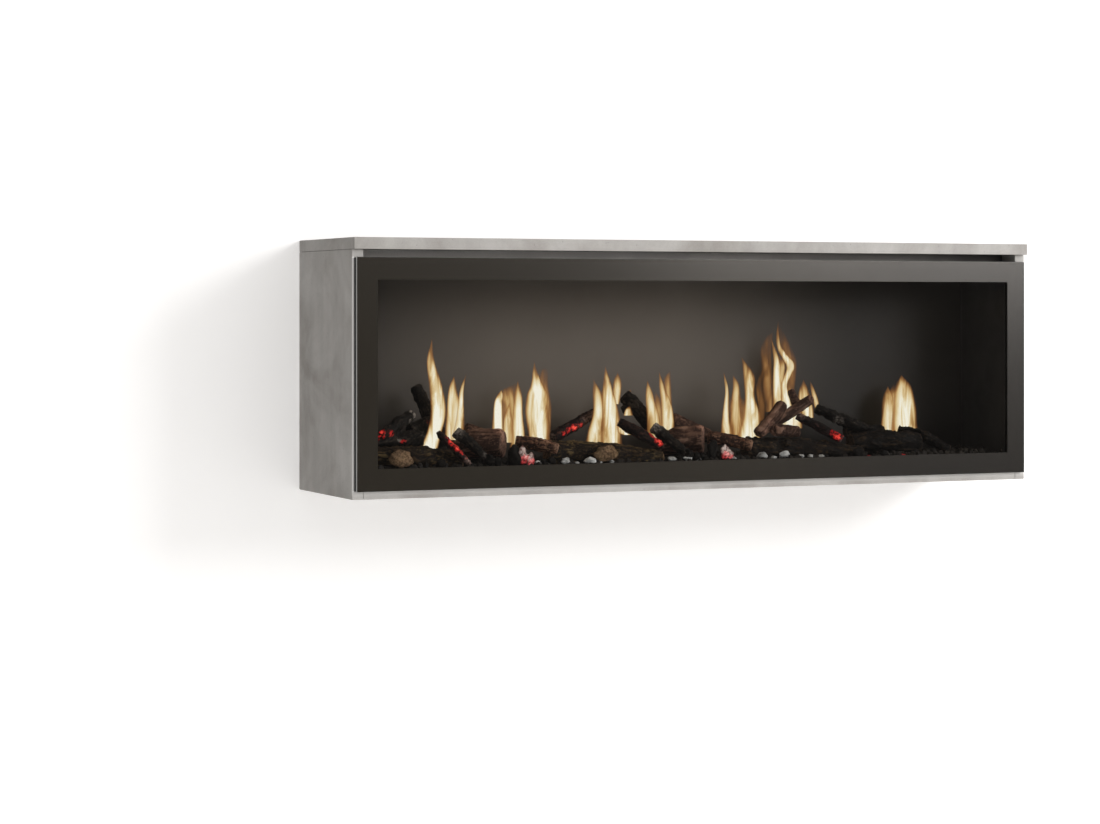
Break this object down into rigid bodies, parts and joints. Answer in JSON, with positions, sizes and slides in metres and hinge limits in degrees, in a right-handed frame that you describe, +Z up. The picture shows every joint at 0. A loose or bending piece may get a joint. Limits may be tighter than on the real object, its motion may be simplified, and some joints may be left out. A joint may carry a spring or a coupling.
{
  "type": "wall-hung electric fireplace",
  "caption": "Wide wall-hung electric fireplace in a concrete-look board cabinet, with a lift-off black-bordered glass front, glowing log bed and fan heater.",
  "frame": {"origin": "middle of the wall rail's flat face, on the wall", "axes": "+X along the cabinet to the right as seen from the room, +Y into the wall, +Z up"},
  "size_m": [1.2, 0.26, 0.3959],
  "materials": {
    "concrete_board": "concrete-look melamine on board, matt",
    "hardboard": "raw hardboard",
    "zinc_steel": "galvanised",
    "black_sheet": "matt black powder coat",
    "grey_sheet": "grey powder coat",
    "front_glass": "clear tempered glass with a black printed border",
    "flame_screen": "smoked translucent acrylic",
    "bright_aluminium": "bright rolled",
    "circuit_board": "solder mask",
    "black_plastic": "fine grain",
    "bark_resin": "moulded resin, painted as bark",
    "brown_resin": "moulded resin, painted as stripped wood",
    "charcoal_resin": "moulded resin, painted as charred wood",
    "ember_resin": "translucent resin lit from inside, charred edges",
    "ash_bed": "moulded resin, painted as ash and coals"
  },
  "bodies": {
    "root": {"air_baffle": "grey_sheet", "back_panel": "hardboard", "bark_log_left": "brown_resin", "bark_log_middle": "brown_resin", "bark_log_right": "bark_resin", "blower_housing": "zinc_steel", "blower_motor": "zinc_steel", "bottom_panel": "concrete_board", "brown_log_left": "brown_resin", "brown_log_middle": "brown_resin", "brown_log_right": "bark_resin", "charcoal_branch_left": "charcoal_resin", "charcoal_branch_middle": "charcoal_resin", "charcoal_branch_right": "charcoal_resin", "chassis_back": "black_sheet", "chassis_floor": "black_sheet", "chassis_roof": "black_sheet", "control_box": "black_plastic", "control_panel": "black_plastic", "crossing_log_high": "brown_resin", "crossing_log_low": "brown_resin", "ember_bed": "ash_bed", "ember_led_board": "circuit_board", "ember_split_left": "ember_resin", "ember_split_middle": "ember_resin", "ember_split_right": "ember_resin", "flame_led_board": "circuit_board", "flame_screen": "flame_screen", "flame_template": "black_sheet", "front_log_left": "bark_resin", "front_log_middle": "bark_resin", "front_log_right": "bark_resin", "heater_element": "bright_aluminium", "leaning_log_left": "charcoal_resin", "leaning_log_middle": "charcoal_resin", "left_firebox_wall": "black_sheet", "left_hanger": "zinc_steel", "left_side_panel": "concrete_board", "mains_inlet": "black_plastic", "red_branch_middle": "ember_resin", "right_firebox_wall": "black_sheet", "right_hanger": "zinc_steel", "right_side_panel": "concrete_board", "rotor_bearing": "zinc_steel", "rotor_motor": "zinc_steel", "rotor_motor_bracket": "zinc_steel", "tall_branch_left": "charcoal_resin", "top_flange": "black_sheet", "top_panel": "concrete_board", "wall_rail": "zinc_steel"},
    "front": {"glass_pane": "front_glass", "front_frame": "black_sheet", "left_hook": "zinc_steel", "right_hook": "zinc_steel"},
    "flame_rotor": {"flame_rotor": "bright_aluminium"},
    "blower_wheel": {"blower_wheel": "bright_aluminium"},
    "power_rocker": {"power_rocker": "black_plastic"},
    "flame_button": {"flame_button": "black_plastic"},
    "heat_button": {"heat_button": "black_plastic"}
  },
  "joints": [
    {"name": "front_unhook", "type": "slide", "parent": "root", "child": "front", "axis": [0, -0.7071, 0.7071], "range_m": [0, 0.12]},
    {"name": "rotor_spin", "type": "hinge", "parent": "root", "child": "flame_rotor", "pos_m": [0, -0.066, -0.28075], "axis": [1, 0, 0], "continuous": true},
    {"name": "wheel_spin", "type": "hinge", "parent": "root", "child": "blower_wheel", "pos_m": [0, -0.068, -0.00275], "axis": [1, 0, 0], "continuous": true},
    {"name": "rocker_tilt", "type": "hinge", "parent": "root", "child": "power_rocker", "pos_m": [0.5712, -0.245, -0.18775], "axis": [1, 0, 0], "range_deg": [-14, 0]},
    {"name": "flame_button_press", "type": "slide", "parent": "root", "child": "flame_button", "axis": [0, 1, 0], "range_m": [0, 0.0015], "stiffness_N_per_m": 300, "springref_m": -0.001},
    {"name": "heat_button_press", "type": "slide", "parent": "root", "child": "heat_button", "axis": [0, 1, 0], "range_m": [0, 0.0015], "stiffness_N_per_m": 300, "springref_m": -0.001}
  ]
}
